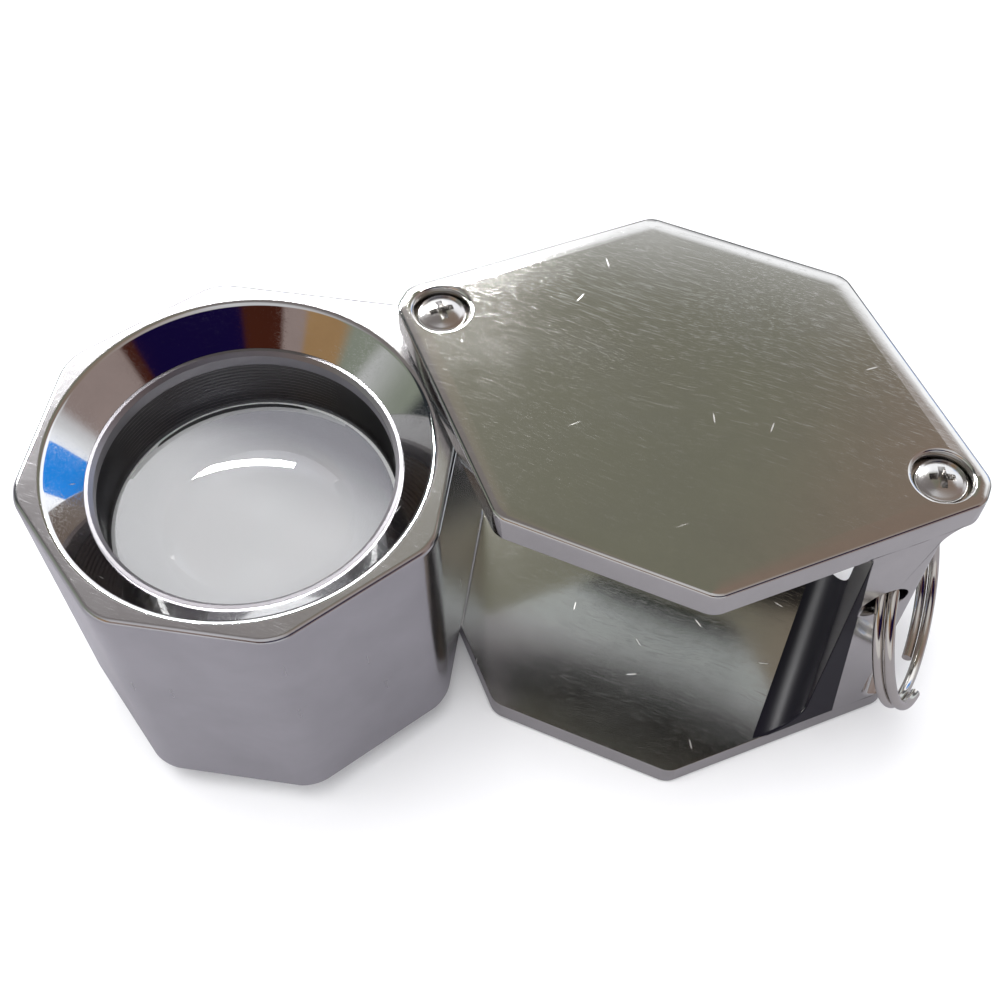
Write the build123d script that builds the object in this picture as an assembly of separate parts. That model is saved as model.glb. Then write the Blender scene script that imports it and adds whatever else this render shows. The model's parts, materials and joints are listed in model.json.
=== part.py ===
from build123d import *
import math
import os

# A folding pocket loupe. Millimetres, +Z up.
# The origin is the centre of the case's bottom face; +X runs from the pivot to the end post.
# The lens housing stands swung out of the case, the way it is used.

# ---- case -------------------------------------------------------------------
CASE_HALF_WIDTH = 14.5          # centre line to each long flat
CASE_FLAT_HALF_LENGTH = 7.4     # half of a long flat
CASE_TIP_X = 20.9               # where each pointed end is cut square
CASE_HEIGHT = 29.6
PLATE_THICKNESS = 2.3
PLATE_CHAMFER = 0.35
PLATE_CORNER_RADIUS = 0.6
SCREW_X = 17.8                  # pivot at -SCREW_X, post screw at +SCREW_X

# ---- screws -----------------------------------------------------------------
SCREW_RADIUS = 1.0
SCREW_LENGTH = 5.2              # from the seat of the head to the tip
TIP_CHAMFER = 0.3
TAP_ALLOWANCE = 0.2             # tapped hole goes this much deeper than the tip
HEAD_RADIUS = 1.75
HEAD_RIM = 0.35                 # straight part of the head
HEAD_DOME = 0.5
SEAT_DEPTH = 0.95               # floor of the seat below the plate's outer face
SEAT_MOUTH_RADIUS = 2.5
SEAT_FLOOR_RADIUS = 2.05
PLATE_HOLE_RADIUS = 1.15
CROSS_WIDTH = 0.6
CROSS_LENGTH = 2.3
CROSS_DEPTH = 0.5

# ---- end post ---------------------------------------------------------------
POST_INNER_X = 15.45
POST_OUTER_X = 19.2
POST_FOOT_RADIUS = 3.0          # blend into the bottom plate, inner side
POST_HEAD_RADIUS = 0.6          # blend into the top plate, inner side
POST_FLARE = 1.55               # blend into both plates, outer side
POST_EDGE_RADIUS = 0.35
RING_HOLE_X = 17.4
RING_HOLE_Z = 19.9
RING_HOLE_RADIUS = 1.3
RING_HOLE_CHAMFER = 0.3
TENON_RADIUS = 0.8              # locating peg between post and plate
TENON_HEIGHT = 0.7
TENON_GAP = 0.05                # room left at the peg's end
TENON_X = 16.9
TENON_Y = 2.6

# ---- pivot ------------------------------------------------------------------
PILLAR_RADIUS = 1.5
LUG_BORE_RADIUS = 1.55
WASHER_THICKNESS = 0.75
WASHER_RADIUS = 2.5
WASHER_BORE_RADIUS = 1.6
SPRING_THICKNESS = 0.3

# ---- lens housing, in its own frame: bore axis at the origin, pivot on -X ----
PIVOT_TO_LENS = 16.9
HOUSING_HALF_WIDTH = 14.25
HOUSING_EDGE_RADIUS = 1.9
HOUSING_BEVEL = 0.45
SWING_ANGLE = -120.0            # swung out of the case, degrees about +Z
DISH_MOUTH_RADIUS = 13.35
DISH_DEPTH = 2.5
DISH_LIP = 0.25
BORE_RADIUS = 11.0

# ---- optics -----------------------------------------------------------------
SLEEVE_BORE_RADIUS = 10.5       # clear aperture of 21 mm
SLEEVE_CHAMFER = 0.3
LENS_RADIUS = 10.95
OUTER_CURVE = 19.0              # spherical radius of the two outer faces
OUTER_VERTEX = 6.6              # half of the triplet's thickness on the axis
CEMENT_CURVE = 14.0             # spherical radius of the two cemented faces
CEMENT_VERTEX = 5.4

# ---- split ring -------------------------------------------------------------
WIRE_RADIUS = 0.38
RING_RADIUS = 7.3               # centre line of the wire
RING_PITCH = 0.8
RING_TURNS = 1.92
RING_DROP_ANGLE = 70.0          # how far below level the ring hangs
RING_LIFT = 0.80                # wire's centre above the hole's axis, mid-hole

CUT_THROUGH = 1.0               # how far a cutter runs past the face it opens
HALF_OCTANT = math.radians(22.5)

# ---- worked out -------------------------------------------------------------
MID_Z = CASE_HEIGHT / 2
GAP_FLOOR = PLATE_THICKNESS
GAP_ROOF = CASE_HEIGHT - PLATE_THICKNESS
HOUSING_FLOOR = GAP_FLOOR + WASHER_THICKNESS
HOUSING_ROOF = GAP_ROOF - WASHER_THICKNESS
HOUSING_HEIGHT = HOUSING_ROOF - HOUSING_FLOOR
CASE_TIP_SUM = CASE_HALF_WIDTH + CASE_FLAT_HALF_LENGTH     # |x| + |y| along a 45-degree edge
PIVOT = Vector(-SCREW_X, 0, 0)


def solid_of(shape):
    """The one solid of a result, without wrappers."""
    return shape.solids()[0]


def rod(radius, z0, z1, x=0.0, y=0.0):
    """A vertical round bar between two heights."""
    return Pos(x, y, (z0 + z1) / 2) * Cylinder(radius, z1 - z0)


def cone(radius0, z0, radius1, z1, x=0.0, y=0.0):
    """A vertical cone between two heights."""
    return Pos(x, y, (z0 + z1) / 2) * Cone(radius0, radius1, z1 - z0)


def risen(face, height):
    """A flat outline given a height, upwards."""
    return extrude(face, height, dir=(0, 0, 1))


def flipped(shape):
    """The shape turned over about the case's mid height."""
    return Pos(0, 0, CASE_HEIGHT) * Rot(180, 0, 0) * shape


def turned_over(shape):
    """A piece of the housing's optics turned over about the middle of the bore."""
    return Pos(0, 0, CASE_HEIGHT) * mirror(shape, Plane.XY)


def swung(shape):
    """From the housing's own frame to its place beside the case."""
    return Pos(*PIVOT) * Rot(0, 0, SWING_ANGLE) * Pos(PIVOT_TO_LENS, 0, 0) * shape


def case_outline():
    """The plate's plan: two long flats, four 45-degree edges and two cut tips."""
    tip_y = CASE_TIP_SUM - CASE_TIP_X
    quarter = [(CASE_FLAT_HALF_LENGTH, CASE_HALF_WIDTH), (CASE_TIP_X, tip_y)]
    right = quarter + [(x, -y) for x, y in reversed(quarter)]
    left = [(-x, -y) for x, y in right]
    return Face(Wire.make_polygon([Vector(x, y, 0) for x, y in right + left]))


def top_plate():
    """Outer face up, both rims chamfered, a dished seat for each screw."""
    plate = Pos(0, 0, GAP_ROOF) * risen(case_outline(), PLATE_THICKNESS)
    plate = fillet(plate.edges().filter_by(Axis.Z), PLATE_CORNER_RADIUS)
    outer_rim = plate.faces().sort_by(Axis.Z)[-1].edges()
    plate = chamfer(outer_rim, PLATE_CHAMFER)
    inner_rim = plate.faces().sort_by(Axis.Z)[0].edges()
    plate = chamfer(inner_rim, PLATE_CHAMFER / 2)
    seat_floor = CASE_HEIGHT - SEAT_DEPTH
    for x in (-SCREW_X, SCREW_X):
        plate -= cone(SEAT_FLOOR_RADIUS, seat_floor, SEAT_MOUTH_RADIUS, CASE_HEIGHT, x)
        plate -= rod(PLATE_HOLE_RADIUS, GAP_ROOF - CUT_THROUGH, CASE_HEIGHT, x)
    plate -= rod(TENON_RADIUS, GAP_ROOF - CUT_THROUGH, GAP_ROOF + TENON_HEIGHT, TENON_X, TENON_Y)
    return solid_of(plate)


def screw():
    """Domed head with a cross recess; the seat of the head is at z = 0, the shank below."""
    dome_radius = (HEAD_RADIUS ** 2 + HEAD_DOME ** 2) / (2 * HEAD_DOME)
    head_top = HEAD_RIM + HEAD_DOME
    head = rod(HEAD_RADIUS, 0, head_top)
    head &= Pos(0, 0, head_top - dome_radius) * Sphere(dome_radius)
    shank = rod(SCREW_RADIUS, -SCREW_LENGTH, 0)
    tip_edge = shank.edges().sort_by(Axis.Z)[0]
    body = head + chamfer(tip_edge, TIP_CHAMFER)
    slot_z = head_top - CROSS_DEPTH / 2
    for angle in (45, 135):
        body -= Pos(0, 0, slot_z) * Rot(0, 0, angle) * Box(CROSS_LENGTH, CROSS_WIDTH, CROSS_DEPTH)
    return solid_of(body)


def placed_screw(x):
    """A screw seated in the top plate."""
    return Pos(x, 0, CASE_HEIGHT - SEAT_DEPTH) * screw()


def tapped(shape, x):
    """The shape with a tapped hole from each plate, a little deeper than the screw."""
    depth = SCREW_LENGTH - (PLATE_THICKNESS - SEAT_DEPTH) + TAP_ALLOWANCE
    shape -= rod(SCREW_RADIUS, GAP_ROOF - depth, GAP_ROOF, x)
    return shape - rod(SCREW_RADIUS, GAP_FLOOR, GAP_FLOOR + depth, x)


def post_profile():
    """Side view of the end post: a straight column with a blend at each corner."""
    z0, z1 = GAP_FLOOR, GAP_ROOF
    foot, head, flare = POST_FOOT_RADIUS, POST_HEAD_RADIUS, POST_FLARE
    inner, outer = POST_INNER_X, POST_OUTER_X
    turn = math.sqrt(0.5)

    def corner(x, z, radius, side, up):
        """Quarter arc that sweeps from the column out along a plate."""
        column_end = Vector(x, 0, z + up * radius)
        plate_end = Vector(x + side * radius, 0, z)
        middle = Vector(x + side * radius * (1 - turn), 0, z + up * radius * (1 - turn))
        return column_end, middle, plate_end

    corners = [
        corner(inner, z0, foot, -1, 1),
        corner(outer, z0, flare, 1, 1),
        corner(outer, z1, flare, 1, -1),
        corner(inner, z1, head, -1, -1),
    ]
    foot_arc, low_arc, high_arc, head_arc = corners
    edges = [
        Edge.make_three_point_arc(*foot_arc),
        Edge.make_line(foot_arc[2], low_arc[2]),
        Edge.make_three_point_arc(*reversed(low_arc)),
        Edge.make_line(low_arc[0], high_arc[0]),
        Edge.make_three_point_arc(*high_arc),
        Edge.make_line(high_arc[2], head_arc[2]),
        Edge.make_three_point_arc(*reversed(head_arc)),
        Edge.make_line(head_arc[0], foot_arc[0]),
    ]
    return Face(Wire(edges))


def end_post():
    """Cast wedge whose slanted faces lie flush with the plates, with pegs and a ring hole."""
    depth = 2 * CASE_HALF_WIDTH
    column = extrude(post_profile(), depth / 2, dir=(0, 1, 0), both=True)
    flush = Pos(0, 0, GAP_FLOOR) * risen(case_outline(), GAP_ROOF - GAP_FLOOR)
    post = solid_of(column & flush)

    def on_inner_corner(edge):
        centre = edge.center()
        at_inner_face = abs(centre.X - POST_INNER_X) < TENON_GAP
        return at_inner_face and abs(centre.Y) > TENON_Y and edge.length > CASE_HEIGHT / 3

    post = fillet([e for e in post.edges() if on_inner_corner(e)], POST_EDGE_RADIUS)
    hole = Rot(90, 0, 0) * Cylinder(RING_HOLE_RADIUS, 2 * CASE_HALF_WIDTH)
    post -= Pos(RING_HOLE_X, 0, RING_HOLE_Z) * hole
    post = chamfer(post.edges().filter_by(GeomType.ELLIPSE), RING_HOLE_CHAMFER)
    for side in (1, -1):
        base = GAP_ROOF if side > 0 else GAP_FLOOR - TENON_HEIGHT + TENON_GAP
        post += rod(TENON_RADIUS, base, base + TENON_HEIGHT - TENON_GAP, TENON_X, side * TENON_Y)
    return solid_of(tapped(post, SCREW_X))


def pivot_pillar():
    """Round pillar between the plates, tapped at both ends."""
    pillar = rod(PILLAR_RADIUS, GAP_FLOOR, GAP_ROOF, PIVOT.X)
    return solid_of(tapped(pillar, PIVOT.X))


def friction_washer():
    """Flat washer under the lug."""
    ring = rod(WASHER_RADIUS, GAP_FLOOR, HOUSING_FLOOR, PIVOT.X)
    return solid_of(ring - rod(WASHER_BORE_RADIUS, GAP_FLOOR, HOUSING_FLOOR, PIVOT.X))


def spring_washer():
    """Thin washer bowed into part of a cylinder, which just fills the room above the lug."""
    rise = WASHER_THICKNESS - SPRING_THICKNESS
    curve = (WASHER_RADIUS ** 2 + rise ** 2) / (2 * rise)
    outer = curve + SPRING_THICKNESS
    axis = Rot(90, 0, 0)
    shell = axis * Cylinder(outer, 2 * outer) - axis * Cylinder(curve, 2 * outer)
    ring = rod(WASHER_RADIUS, 0, outer) - rod(WASHER_BORE_RADIUS, 0, outer)
    bowed = solid_of(shell & ring)
    return Pos(PIVOT.X, 0, GAP_ROOF - curve - SPRING_THICKNESS) * bowed


def housing_outline():
    """Plan of the housing: half an octagon, drawn out to a pointed lug at the pivot."""
    half = HOUSING_HALF_WIDTH
    side = half * math.tan(HALF_OCTANT)
    inset = (CASE_HALF_WIDTH - half) * math.sqrt(2)
    lens_x = PIVOT_TO_LENS - SCREW_X
    lug_sum = CASE_TIP_SUM - inset + lens_x             # |x| + |y| along the lug's edges
    tangent_x = lug_sum - half
    right = [(half, -side), (half, side), (side, half), (-tangent_x, half)]
    tip = [(-lug_sum, 0)]
    left = [(-tangent_x, -half), (side, -half)]
    return Face(Wire.make_polygon([Vector(x, y, 0) for x, y in right + tip + left]))


def lens_housing():
    """Block with a dish at each face, one bore for the optics and a bored lug."""
    block = risen(housing_outline(), HOUSING_HEIGHT)
    block = fillet(block.edges().filter_by(Axis.Z), HOUSING_EDGE_RADIUS)
    rims = block.faces().sort_by(Axis.Z)[-1].edges() + block.faces().sort_by(Axis.Z)[0].edges()
    block = chamfer(rims, HOUSING_BEVEL)
    lip_radius = DISH_MOUTH_RADIUS - DISH_LIP
    for place in (Pos(0, 0, HOUSING_HEIGHT), Rot(180, 0, 0)):
        dish = cone(BORE_RADIUS, -DISH_DEPTH, lip_radius, -DISH_LIP)
        dish += cone(lip_radius, -DISH_LIP, DISH_MOUTH_RADIUS, 0)
        block -= place * dish
    block -= rod(BORE_RADIUS, 0, HOUSING_HEIGHT)
    block -= rod(LUG_BORE_RADIUS, 0, HOUSING_HEIGHT, -PIVOT_TO_LENS)
    return swung(Pos(0, 0, HOUSING_FLOOR) * solid_of(block))


def lens_edge_height():
    """Half of the triplet's thickness where the sleeves press on it."""
    sag = OUTER_CURVE - math.sqrt(OUTER_CURVE ** 2 - LENS_RADIUS ** 2)
    return OUTER_VERTEX - sag


def upper_retaining_ring():
    """Turned sleeve from the foot of the dish down to the glass, its foot cut to the lens."""
    top = HOUSING_ROOF - DISH_DEPTH
    sleeve = rod(BORE_RADIUS, MID_Z, top) - rod(SLEEVE_BORE_RADIUS, MID_Z, top)
    mouth = sleeve.faces().sort_by(Axis.Z)[-1].edges().sort_by(SortBy.RADIUS)[0]
    sleeve = chamfer(mouth, SLEEVE_CHAMFER)
    sleeve -= rod(BORE_RADIUS, MID_Z, MID_Z + lens_edge_height())
    sleeve -= Pos(0, 0, MID_Z + OUTER_VERTEX - OUTER_CURVE) * Sphere(OUTER_CURVE)
    return swung(solid_of(sleeve))


def ball(curve, vertex):
    """A sphere whose top is at the given height above the lens's middle."""
    return Pos(0, 0, vertex - curve) * Sphere(curve)


def crown_lens():
    """Middle element, convex on both faces."""
    disc = rod(LENS_RADIUS, -CEMENT_VERTEX, CEMENT_VERTEX)
    disc &= ball(CEMENT_CURVE, CEMENT_VERTEX)
    disc &= Rot(180, 0, 0) * ball(CEMENT_CURVE, CEMENT_VERTEX)
    return swung(Pos(0, 0, MID_Z) * solid_of(disc))


def upper_flint_lens():
    """Outer element: convex above, hollowed below to fit the crown."""
    sag = CEMENT_CURVE - math.sqrt(CEMENT_CURVE ** 2 - LENS_RADIUS ** 2)
    disc = rod(LENS_RADIUS, CEMENT_VERTEX - sag, OUTER_VERTEX)
    disc &= ball(OUTER_CURVE, OUTER_VERTEX)
    disc -= ball(CEMENT_CURVE, CEMENT_VERTEX)
    return swung(Pos(0, 0, MID_Z) * solid_of(disc))


def split_ring():
    """Two turns of round wire through the post's hole, hanging down past its outer face."""
    path = Helix(pitch=RING_PITCH, height=RING_PITCH * RING_TURNS, radius=RING_RADIUS)
    section = Plane(origin=path @ 0, z_dir=path % 0) * Circle(WIRE_RADIUS)
    coil = sweep(section, path=path, is_frenet=True)
    level = Pos(0, 0, -RING_PITCH * RING_TURNS / 2) * coil
    reach = RING_RADIUS - RING_LIFT
    drop = Rot(0, RING_DROP_ANGLE, 0) * Pos(reach, 0, 0)
    return Pos(RING_HOLE_X, 0, RING_HOLE_Z) * drop * solid_of(level)


PARTS = {
    "top_plate": top_plate(),
    "bottom_plate": flipped(top_plate()),
    "end_post": end_post(),
    "pivot_pillar": pivot_pillar(),
    "pivot_screw_top": placed_screw(-SCREW_X),
    "pivot_screw_bottom": flipped(placed_screw(-SCREW_X)),
    "post_screw_top": placed_screw(SCREW_X),
    "post_screw_bottom": flipped(placed_screw(SCREW_X)),
    "spring_washer": spring_washer(),
    "friction_washer": friction_washer(),
    "lens_housing": lens_housing(),
    "upper_retaining_ring": upper_retaining_ring(),
    "lower_retaining_ring": turned_over(upper_retaining_ring()),
    "upper_flint_lens": upper_flint_lens(),
    "crown_lens": crown_lens(),
    "lower_flint_lens": turned_over(upper_flint_lens()),
    "split_ring": split_ring(),
}

os.makedirs("parts", exist_ok=True)
for name, part in PARTS.items():
    export_step(part, f"parts/{name}.step")
    print(name, round(part.volume, 2))
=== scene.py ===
# %% [markdown]
# # A folding loupe in chrome
# A folding loupe is a lens block that swings out of a flat metal case on one pivot. Nearly all
# of it is plated metal, so it has hardly any colour of its own: what we see is the room, bent by
# the shapes and blurred by the finish. That decides the order of this lesson. First the room and
# the camera, then the finishes, then the pieces, each with the small rounded edges that catch
# the light.

# %% Load the fixed frame
import json
import math

import bmesh
import bpy
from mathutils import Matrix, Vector


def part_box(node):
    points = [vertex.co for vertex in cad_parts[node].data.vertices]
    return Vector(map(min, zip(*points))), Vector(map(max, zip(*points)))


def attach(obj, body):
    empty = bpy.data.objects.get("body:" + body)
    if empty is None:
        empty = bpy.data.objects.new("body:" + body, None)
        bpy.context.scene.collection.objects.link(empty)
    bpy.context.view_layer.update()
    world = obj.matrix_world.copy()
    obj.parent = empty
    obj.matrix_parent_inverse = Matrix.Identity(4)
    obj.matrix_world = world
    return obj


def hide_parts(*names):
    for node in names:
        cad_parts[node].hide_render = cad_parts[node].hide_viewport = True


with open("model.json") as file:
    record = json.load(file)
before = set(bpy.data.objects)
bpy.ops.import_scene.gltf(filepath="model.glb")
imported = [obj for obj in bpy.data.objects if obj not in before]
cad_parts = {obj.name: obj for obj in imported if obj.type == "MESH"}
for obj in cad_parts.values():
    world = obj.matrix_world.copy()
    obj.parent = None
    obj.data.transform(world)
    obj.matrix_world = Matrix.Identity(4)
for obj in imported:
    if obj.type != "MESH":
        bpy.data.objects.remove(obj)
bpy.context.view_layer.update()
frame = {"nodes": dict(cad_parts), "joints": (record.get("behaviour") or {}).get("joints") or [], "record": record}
print("nodes:", len(frame["nodes"]))

# %% Places that everything else is measured from
MM = 0.001
plate_low, plate_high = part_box("top_plate")
base_low, base_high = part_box("bottom_plate")
housing_low, housing_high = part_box("lens_housing")
lens_low, lens_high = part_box("crown_lens")
joints = {joint["name"]: joint for joint in frame["joints"]}

PIVOT = Vector(joints["housing_swing"]["pos_m"])
LENS_CENTRE = (lens_low + lens_high) / 2
CASE_TOP = plate_high.z
CASE_MID = CASE_TOP / 2
GAP_FLOOR = base_high.z
GAP_ROOF = plate_low.z
CASE_TIP = plate_high.x
CASE_HALF = plate_high.y
SCREW_X = -PIVOT.x
print("pivot at", [round(v / MM, 2) for v in PIVOT], "lens at", [round(v / MM, 2) for v in LENS_CENTRE])

# %% [markdown]
# ## Camera
# The camera looks down on the loupe from the front and a little to the right, from about four
# loupe lengths away. A point to aim at, a height and a bearing are easier to read than a
# rotation, so the rotation is worked out from them with a track quaternion.

# %% The camera
EYE = Vector((10.73, -56.68, 100.44)) * MM
AIM = Vector((-11.44, -4.14, 14.8)) * MM
FOCAL_MM = 48.29
LEAN = math.radians(0.66)

bpy.ops.object.camera_add(location=EYE)
camera = bpy.context.active_object
camera.data.lens = FOCAL_MM
camera.data.clip_start = 1 * MM
look = (AIM - EYE).to_track_quat("-Z", "Y").to_matrix().to_4x4()
look.translation = EYE
camera.matrix_world = look
camera.rotation_euler.rotate_axis("Z", LEAN)
bpy.context.scene.camera = camera
bpy.context.scene.view_settings.view_transform = "Standard"
print("camera is", round((AIM - EYE).length / MM), "mm from the loupe")

# %% [markdown]
# ## The room
# A mirror needs something to reflect. The room is drawn in the world shader with three colour
# ramps that run round the loupe: one low down, one on the walls and one on the ceiling. Only
# mirrored rays see it. The camera and the soft light on the floor get a plain pale white, so
# the picture stays a clean studio shot.

# %% Node helpers
def add_node(tree, kind, inputs=None, **settings):
    """A node with its settings made and its inputs set or linked."""
    node = tree.nodes.new(kind)
    for name, value in settings.items():
        setattr(node, name, value)
    for key, value in (inputs or {}).items():
        if isinstance(value, bpy.types.NodeSocket):
            tree.links.new(value, node.inputs[key])
        else:
            node.inputs[key].default_value = value
    return node


def math_node(tree, operation, first, second=0.0):
    return add_node(tree, "ShaderNodeMath", {0: first, 1: second}, operation=operation).outputs[0]


def ramp(tree, factor, stops):
    """A colour ramp from (position, colour) pairs, eased between them."""
    node = add_node(tree, "ShaderNodeValToRGB", {"Fac": factor})
    node.color_ramp.interpolation = "EASE"
    elements = node.color_ramp.elements
    while len(elements) < len(stops):
        elements.new(1.0)
    for element, (position, colour) in zip(elements, stops):
        element.position = position
        element.color = (*colour, 1)
    return node.outputs["Color"]


def mix_colour(tree, factor, first, second):
    node = add_node(tree, "ShaderNodeMix", data_type="RGBA")
    for socket, value in zip((node.inputs[0], node.inputs[6], node.inputs[7]), (factor, first, second)):
        if isinstance(value, bpy.types.NodeSocket):
            tree.links.new(value, socket)
        else:
            socket.default_value = value
    return node.outputs[2]


# %% Colours of the room, as bearings clockwise from straight behind the loupe
WHITE = (1.5, 1.53, 1.6)
PALE = (0.80, 0.80, 0.82)
NAVY = (0.008, 0.004, 0.045)
MAROON = (0.07, 0.018, 0.010)
BEIGE = (0.37, 0.29, 0.27)
ORANGE = (0.44, 0.27, 0.13)
MOSS = (0.30, 0.33, 0.27)
DARK = (0.03, 0.035, 0.04)
ROOM_ROUND = [
    (-180, MAROON), (-177, BEIGE), (-168, BEIGE), (-164, ORANGE), (-148, ORANGE), (-140, MOSS),
    (-104, MOSS), (-97, DARK), (-62, DARK), (-50, PALE), (-34, WHITE), (30, WHITE), (46, PALE),
    (54, BEIGE), (90, BEIGE), (93, MAROON), (97, MAROON), (100, NAVY), (157, NAVY), (161, MAROON),
    (180, MAROON),
]
LOW_ROUND = [(-180, PALE), (-140, PALE), (-102, MOSS), (-94, DARK), (-62, DARK), (-50, PALE), (-34, WHITE),
             (30, WHITE), (50, PALE), (62, BEIGE), (110, BEIGE), (130, PALE), (180, PALE)]
LOW_TOP = (17.0, 20.0)          # heights in degrees, where one part of the room gives way to the next
CEILING_LEFT = (0.30, 0.275, 0.215)
CEILING_RIM = (0.25, 0.225, 0.22)
CEILING_MIDDLE = (0.235, 0.235, 0.18)
CEILING_RIGHT = (0.31, 0.235, 0.19)
CEILING_ROUND = [(-180, PALE), (-90, CEILING_RIM), (-42, CEILING_RIM), (-32, CEILING_LEFT), (-24, CEILING_MIDDLE),
                 (-6, CEILING_MIDDLE), (10, CEILING_RIGHT), (40, CEILING_RIGHT), (180, PALE)]
WALL_TOP = (40.0, 47.0)
BLUE = (0.03, 0.35, 1.1)
BLUE_BEARING, BLUE_BEARING_SOFT = (15.0, 36.0), 1.0
BLUE_HEIGHT, BLUE_HEIGHT_SOFT = (4.0, 15.0), 0.8
PLAIN_WHITE = (0.93, 0.93, 0.94, 1)
SOFT_LIGHT = (0.86, 0.86, 0.88, 1)


def round_stops(stops):
    return [((bearing + 180) / 360, colour) for bearing, colour in stops]


# %% Steps and bands
def step(tree, value, start, end, low=0.0, high=1.0, smooth_step=True):
    """Goes from low to high as the value passes from start to end."""
    node = add_node(tree, "ShaderNodeMapRange", {0: value, 1: start, 2: end, 3: low, 4: high})
    if smooth_step:
        node.interpolation_type = "SMOOTHSTEP"
    return node.outputs[0]


def band(tree, value, low, high, soft):
    """One between low and high, falling to zero over a soft edge outside them."""
    up = step(tree, value, low - soft, low)
    down = step(tree, value, high, high + soft, 1.0, 0.0)
    return math_node(tree, "MULTIPLY", up, down)


# %% The world shader
world = bpy.data.worlds.new("studio_room")
bpy.context.scene.world = world
world.use_nodes = True
sky = world.node_tree
sky.nodes.clear()
direction = add_node(sky, "ShaderNodeTexCoord").outputs["Generated"]
parts = add_node(sky, "ShaderNodeSeparateXYZ", {0: direction}).outputs
bearing = math_node(sky, "ARCTAN2", parts[0], parts[1])
turn = math_node(sky, "MULTIPLY_ADD", bearing, 1 / (2 * math.pi))
turn.node.inputs[2].default_value = 0.5
bearing_degrees = math_node(sky, "MULTIPLY", bearing, math.degrees(1))
height_degrees = math_node(sky, "MULTIPLY", math_node(sky, "ARCSINE", parts[2]), math.degrees(1))

low_room, walls, ceiling = (ramp(sky, turn, round_stops(stops))
                            for stops in (LOW_ROUND, ROOM_ROUND, CEILING_ROUND))
room = mix_colour(sky, step(sky, height_degrees, *LOW_TOP), low_room, walls)
room = mix_colour(sky, step(sky, height_degrees, *WALL_TOP), room, ceiling)
blue_mask = math_node(sky, "MULTIPLY", band(sky, bearing_degrees, *BLUE_BEARING, BLUE_BEARING_SOFT),
                      band(sky, height_degrees, *BLUE_HEIGHT, BLUE_HEIGHT_SOFT))
room = mix_colour(sky, blue_mask, room, (*BLUE, 1))

rays = add_node(sky, "ShaderNodeLightPath").outputs
lit = mix_colour(sky, rays["Is Diffuse Ray"], room, SOFT_LIGHT)
seen = mix_colour(sky, rays["Is Camera Ray"], lit, PLAIN_WHITE)
background = add_node(sky, "ShaderNodeBackground", {"Color": seen, "Strength": 1.0})
add_node(sky, "ShaderNodeOutputWorld", {"Surface": background.outputs[0]})
print("room drawn with", len(sky.nodes), "nodes")

# %% [markdown]
# ## Floor and lamps
# The floor is a plain pale sheet, but each kind of ray sees its own tone of it, and these tones
# are painted light: mirrors see painted shade on it, grey in front, pale behind and dark far off,
# and the glass sees it bright with a painted glow. Two black cards are a painted shadow behind the
# case: they darken the mirrored inside of the case. A large lamp overhead makes the soft shadow,
# and a short tube close to the lens makes the white streak in the glass.

# %% Tones and places of the floor's painted shade and glow, and of the painted shadow cards
FLOOR_SIZE = 1.6
FLOOR_DROP = 0.02 * MM
FLOOR_SEEN = (0.88, 0.88, 0.89, 1)
# Painted shade: the tones mirrors see of the floor, darker than the floor itself, in front, behind and far off.
MIRRORED_FLOOR_PAINTED_SHADE = (0.34, 0.33, 0.36, 1)
BEHIND_FLOOR_PAINTED_SHADE = (0.62, 0.68, 0.70, 1)
FAR_FLOOR_PAINTED_SHADE = (0.03, 0.03, 0.035, 1)
BEHIND_FROM, FAR_FROM = (18 * MM, 22 * MM), (34 * MM, 48 * MM)
# Painted light: the floor seen through the glass has its own tone and a painted glow, though it is no lamp.
FLOOR_THROUGH_GLASS = (0.76, 0.76, 0.78, 1)
PAINTED_GLOW_THROUGH_GLASS = 0.24
# Painted shadow: black cards behind the case that stand for its shadow there, fading out towards their edges.
PAINTED_SHADOW_BLACK = (0.003, 0.003, 0.004, 1)
PAINTED_SHADOW_FADE = (0.34, 0.5)
# name, place, (width, depth), tilt
PAINTED_SHADOW_CARDS = [("floor_painted_shadow", Vector((1, 12.5, 0.1)) * MM, (52 * MM, 14 * MM), 0.0),
         ("upright_painted_shadow", Vector((-1, 20, 22.5)) * MM, (50 * MM, 24 * MM), math.pi / 2)]


# %% The floor, with painted shade for mirrors and a painted glow for the glass
def simple_finish(name, colour, roughness, specular=0.5):
    """A plain finish with no texture."""
    material = bpy.data.materials.new(name)
    material.use_nodes = True
    surface = material.node_tree.nodes["Principled BSDF"].inputs
    surface["Base Color"].default_value = colour
    surface["Roughness"].default_value = roughness
    surface["Specular IOR Level"].default_value = specular
    return material


bpy.ops.mesh.primitive_plane_add(size=FLOOR_SIZE, location=(0, 0, base_low.z - FLOOR_DROP))
floor = bpy.context.active_object
floor.name = "floor"
pale_floor = simple_finish("pale_floor", FLOOR_SEEN, 0.9)
floor_tree = pale_floor.node_tree
floor_rays = add_node(floor_tree, "ShaderNodeLightPath").outputs
floor_place = add_node(floor_tree, "ShaderNodeTexCoord").outputs["Object"]
floor_depth = add_node(floor_tree, "ShaderNodeSeparateXYZ", {0: floor_place}).outputs[1]
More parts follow.
